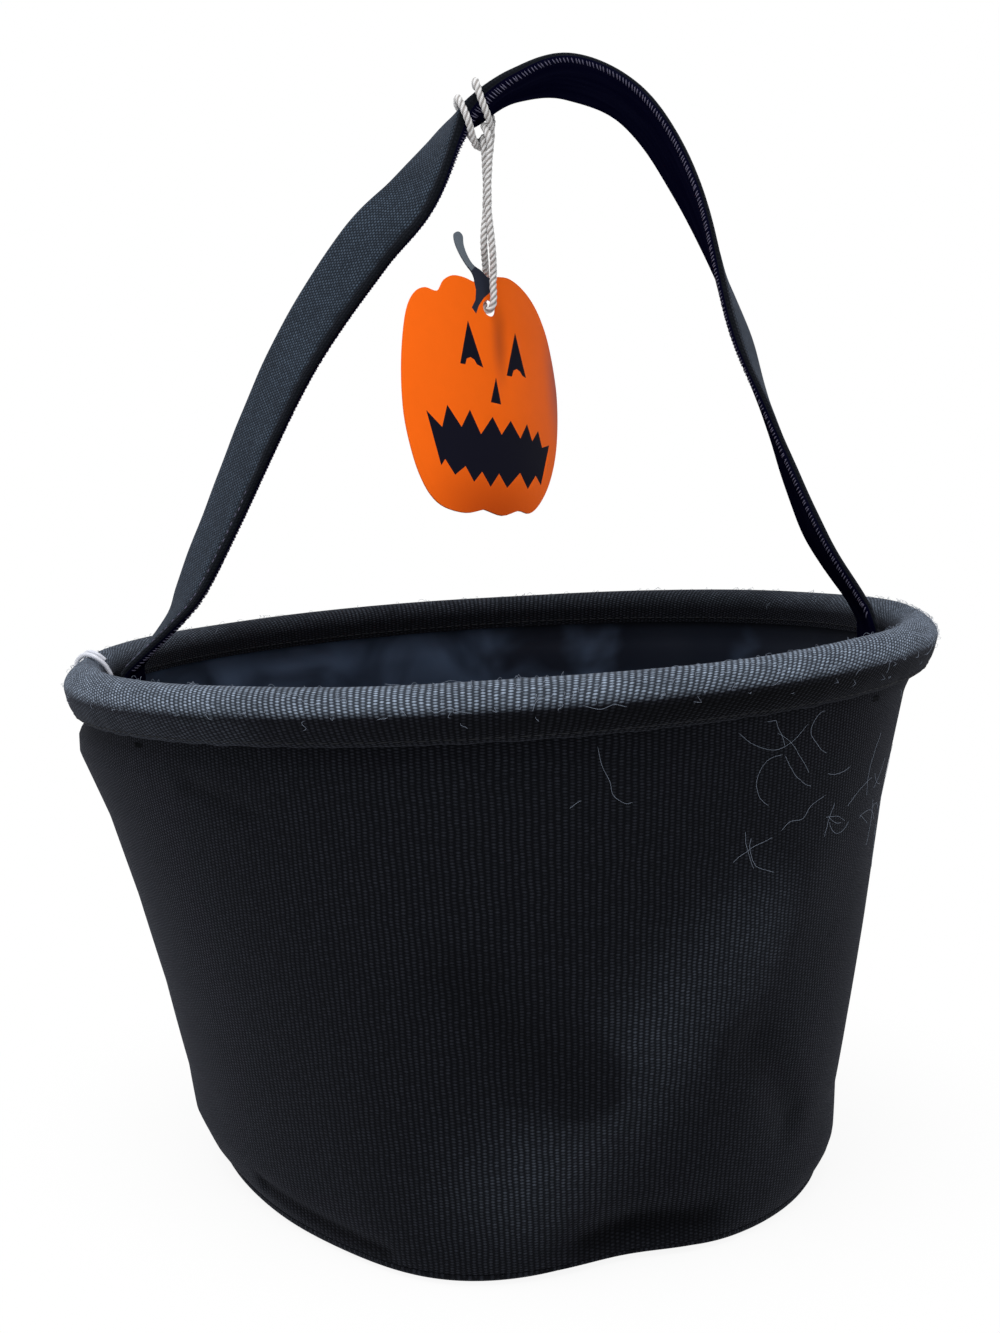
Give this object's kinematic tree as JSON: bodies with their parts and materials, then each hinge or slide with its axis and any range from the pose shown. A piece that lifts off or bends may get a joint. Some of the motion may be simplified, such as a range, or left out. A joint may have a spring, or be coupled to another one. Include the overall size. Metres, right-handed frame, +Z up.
{
  "type": "treat bucket",
  "caption": "Soft black canvas bucket with a rolled rim, a fabric strap handle and a pumpkin-shaped card tag on a string, for collecting sweets.",
  "frame": {"origin": "centre of the underside of the round base", "axes": "+Z up, +X to the right and +Y away from the viewer in the pictured view; the strap runs from -X to +X"},
  "size_m": [0.2536, 0.218, 0.3196],
  "materials": {
    "canvas": "black ribbed cotton canvas, matt",
    "strap_cloth": "dark slate fine twill with an overlocked edge, matt",
    "lining": "smooth dark woven polyester, soft sheen",
    "felt": "non-woven interlining",
    "board": "plain grey-brown board",
    "hoop_plastic": "bent plastic tube",
    "cord": "twisted silver-grey cord",
    "printed_card": "orange and black printed card, satin",
    "fastener_plastic": "thin white moulded tag fastener"
  },
  "bodies": {
    "bucket": {"outer_wall": "canvas", "outer_base": "canvas", "rim_band": "canvas", "rim_hoop": "hoop_plastic", "hoop_joiner": "hoop_plastic", "wall_interlining": "felt", "base_board": "board", "lining_wall": "lining", "lining_base": "lining", "strap_end_left": "strap_cloth", "strap_end_right": "strap_cloth", "tag_fastener": "fastener_plastic"},
    "strap": {"handle_strap": "strap_cloth", "string_wrap": "cord"},
    "string": {"string_upper": "cord"},
    "tag": {"string_lower": "cord", "hang_tag": "printed_card"}
  },
  "joints": [
    {"name": "strap_swing", "type": "hinge", "parent": "bucket", "child": "strap", "pos_m": [-0.0059, 0.0129, 0.14774], "axis": [0.9982, 0, 0.0596], "range_deg": [-66, 80]},
    {"name": "string_swing", "type": "hinge", "parent": "strap", "child": "string", "pos_m": [-0.00978, 0.021, 0.28745], "axis": [1, 0, 0], "range_deg": [-90, 90]},
    {"name": "tag_turn", "type": "hinge", "parent": "string", "child": "tag", "pos_m": [-0.00963, 0.021, 0.27705], "axis": [0, 0, 1], "range_deg": [-90, 90]}
  ]
}
